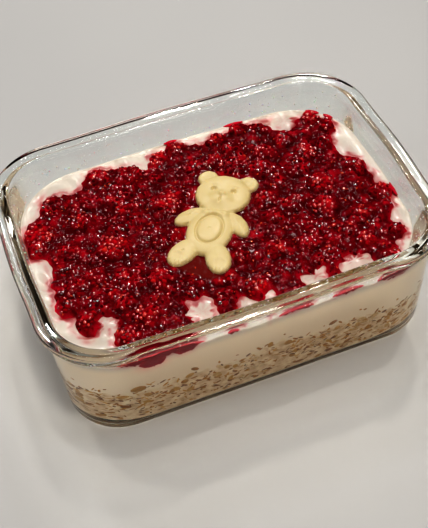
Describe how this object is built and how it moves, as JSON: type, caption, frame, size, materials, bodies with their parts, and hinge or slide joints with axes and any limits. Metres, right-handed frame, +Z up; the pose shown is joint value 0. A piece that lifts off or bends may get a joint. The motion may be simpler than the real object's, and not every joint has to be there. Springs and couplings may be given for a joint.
{
  "type": "overnight oats in a glass food box",
  "caption": "Open rectangular glass food box filled with layers of soaked oats, yogurt and raspberry compote, with a white chocolate bear on top.",
  "frame": {"origin": "centre of the glass box's flat underside", "axes": "+X along the long side, towards the chocolate bear's head end; +Y towards the long side behind it; +Z up"},
  "size_m": [0.2122, 0.1542, 0.07],
  "materials": {
    "glass": "clear pressed glass, polished",
    "oats": "soaked rolled oats, moist, with brown flecks",
    "yogurt": "smooth, moist, creamy",
    "compote": "wet and glossy, dark red with brighter drupelets",
    "chocolate": "moulded white chocolate, satin"
  },
  "bodies": {
    "root": {"glass_dish": "glass", "oats_layer": "oats", "yogurt_layer": "yogurt", "raspberry_compote": "compote", "chocolate_bear": "chocolate"}
  },
  "joints": []
}
